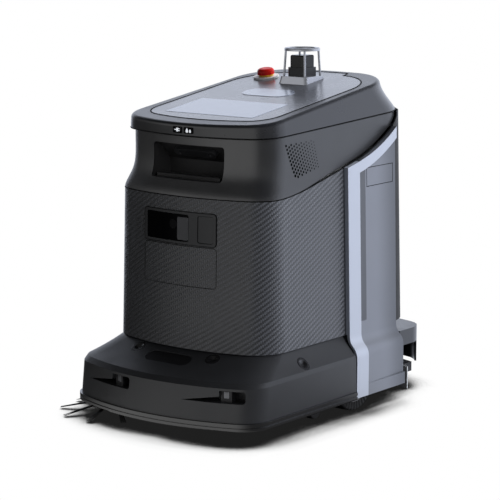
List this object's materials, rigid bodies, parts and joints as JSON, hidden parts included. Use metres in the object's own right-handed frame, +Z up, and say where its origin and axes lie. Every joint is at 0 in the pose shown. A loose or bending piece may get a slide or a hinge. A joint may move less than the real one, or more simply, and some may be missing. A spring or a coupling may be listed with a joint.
{
  "type": "floor-cleaning robot",
  "caption": "Free-standing commercial floor-cleaning robot with a sprung front bumper, roller and side brushes, a rear squeegee, a hinged lid with touchscreen, stop button and lidar.",
  "frame": {"origin": "on the floor, midway between the contact points of the two drive wheels", "axes": "+Z up, the robot drives towards -Y, its left side is +X"},
  "size_m": [0.585, 0.798, 0.8005],
  "materials": {
    "carbon_shell": "satin woven-look skin",
    "black_shell": "fine matte moulded grain",
    "silver_wing": "satin silver paint",
    "grey_bracket": "satin moulded",
    "lid_black": "satin moulded",
    "top_gloss": "semi-gloss panel",
    "dark_glass": "gloss dark glass",
    "sensor_black": "gloss dark lens",
    "metal_mount": "satin anodised",
    "steel": "turned steel",
    "stop_red": "gloss red",
    "stop_yellow": "gloss yellow",
    "stop_white": "gloss white",
    "tyre": "moulded tyre",
    "soft_rubber": "soft rubber",
    "hub_grey": "moulded hub",
    "chassis_black": "moulded tub",
    "tank_grey": "translucent-look moulded tank",
    "battery_case": "die-cast case",
    "motor_case": "die-cast case",
    "board_green": "circuit board",
    "bristle": "nylon bristles",
    "roller_blue": "nylon fins"
  },
  "bodies": {
    "chassis": {"body_shell": "carbon_shell", "front_access_panel": "carbon_shell", "rear_cover": "black_shell", "upper_shell": "black_shell", "sensor_bay": "black_shell", "inner_tray": "black_shell", "front_camera_frame": "black_shell", "bay_camera": "sensor_black", "front_camera_glass": "dark_glass", "front_camera_cover": "sensor_black", "speakers": "sensor_black", "lid_hinge_base": "steel", "side_wing_left": "silver_wing", "side_wing_right": "silver_wing", "drive_axles": "steel", "chassis": "chassis_black", "side_brush_motor": "motor_case", "rear_bracket": "grey_bracket", "suction_hose": "soft_rubber", "clean_water_tank": "tank_grey", "waste_water_tank": "tank_grey", "battery_pack": "battery_case", "suction_motor": "motor_case", "control_board": "board_green"},
    "lid": {"lid": "lid_black", "top_panel": "top_gloss", "touchscreen": "dark_glass", "oval_pad": "dark_glass", "indicator_tiles": "sensor_black", "estop_plate": "stop_white", "estop_collar": "stop_yellow", "lidar_mount": "metal_mount", "lidar_guard": "metal_mount", "lidar_base": "sensor_black", "lidar_window": "sensor_black", "lid_hinge_leaf": "steel"},
    "estop_button": {"estop_button": "stop_red"},
    "lidar_rotor": {"lidar_rotor": "sensor_black"},
    "bumper": {"bumper": "black_shell", "bumper_strip": "soft_rubber", "round_sensors": "sensor_black", "bumper_window": "dark_glass", "line_lasers": "sensor_black", "bumper_guides": "steel"},
    "drive_wheel_left": {"drive_hub_left": "hub_grey", "drive_tyre_left": "tyre"},
    "drive_wheel_right": {"drive_hub_right": "hub_grey", "drive_tyre_right": "tyre"},
    "caster_left": {"caster_fork_left": "steel"},
    "caster_right": {"caster_fork_right": "steel"},
    "caster_wheel_left": {"caster_wheel_left": "soft_rubber"},
    "caster_wheel_right": {"caster_wheel_right": "soft_rubber"},
    "brush_deck": {"brush_deck": "chassis_black"},
    "roller_brush": {"roller_brush": "roller_blue"},
    "side_brush": {"side_brush_hub": "chassis_black", "side_brush_bristles": "bristle"},
    "squeegee": {"squeegee_holder": "chassis_black", "squeegee_blades": "soft_rubber"},
    "wing_flap_left": {"wing_flap_left": "silver_wing"},
    "wing_flap_right": {"wing_flap_right": "silver_wing"}
  },
  "joints": [
    {"name": "lid_hinge", "type": "hinge", "parent": "chassis", "child": "lid", "pos_m": [0, 0.268, 0.664], "axis": [-1, 0, 0], "range_deg": [0, 65]},
    {"name": "estop_press", "type": "slide", "parent": "lid", "child": "estop_button", "axis": [0, 0.1448, -0.9895], "range_m": [0, 0.004], "stiffness_N_per_m": 1200, "springref_m": -0.001},
    {"name": "lidar_spin", "type": "hinge", "parent": "lid", "child": "lidar_rotor", "pos_m": [0, 0.092, 0.765], "axis": [0, 0, 1], "continuous": true},
    {"name": "bumper_push", "type": "slide", "parent": "chassis", "child": "bumper", "axis": [0, 1, 0], "range_m": [0, 0.006], "stiffness_N_per_m": 3000, "springref_m": -0.002},
    {"name": "drive_spin_left", "type": "hinge", "parent": "chassis", "child": "drive_wheel_left", "pos_m": [0.203, 0, 0.075], "axis": [1, 0, 0], "continuous": true},
    {"name": "drive_spin_right", "type": "hinge", "parent": "chassis", "child": "drive_wheel_right", "pos_m": [-0.203, 0, 0.075], "axis": [1, 0, 0], "continuous": true},
    {"name": "caster_swivel_left", "type": "hinge", "parent": "chassis", "child": "caster_left", "pos_m": [0.19, -0.14, 0.07], "axis": [0, 0, 1], "continuous": true},
    {"name": "caster_swivel_right", "type": "hinge", "parent": "chassis", "child": "caster_right", "pos_m": [-0.19, -0.14, 0.07], "axis": [0, 0, 1], "continuous": true},
    {"name": "caster_roll_left", "type": "hinge", "parent": "caster_left", "child": "caster_wheel_left", "pos_m": [0.19, -0.12, 0.022], "axis": [1, 0, 0], "continuous": true},
    {"name": "caster_roll_right", "type": "hinge", "parent": "caster_right", "child": "caster_wheel_right", "pos_m": [-0.19, -0.12, 0.022], "axis": [1, 0, 0], "continuous": true},
    {"name": "brush_deck_lift", "type": "slide", "parent": "chassis", "child": "brush_deck", "axis": [0, 0, 1], "range_m": [0, 0.015]},
    {"name": "roller_spin", "type": "hinge", "parent": "brush_deck", "child": "roller_brush", "pos_m": [0, -0.135, 0.0395], "axis": [1, 0, 0], "continuous": true},
    {"name": "side_brush_spin", "type": "hinge", "parent": "chassis", "child": "side_brush", "pos_m": [-0.2, -0.335, 0.03], "axis": [0, 0, 1], "continuous": true},
    {"name": "squeegee_lift", "type": "slide", "parent": "chassis", "child": "squeegee", "axis": [0, 0, 1], "range_m": [0, 0.02]},
    {"name": "wing_flap_hinge_left", "type": "hinge", "parent": "chassis", "child": "wing_flap_left", "pos_m": [0.21639, 0.146, 0.525], "axis": [-0.0227, 0, 0.9997], "range_deg": [0, 85]},
    {"name": "wing_flap_hinge_right", "type": "hinge", "parent": "chassis", "child": "wing_flap_right", "pos_m": [-0.21639, 0.146, 0.525], "axis": [-0.0227, 0, -0.9997], "range_deg": [0, 85]}
  ]
}
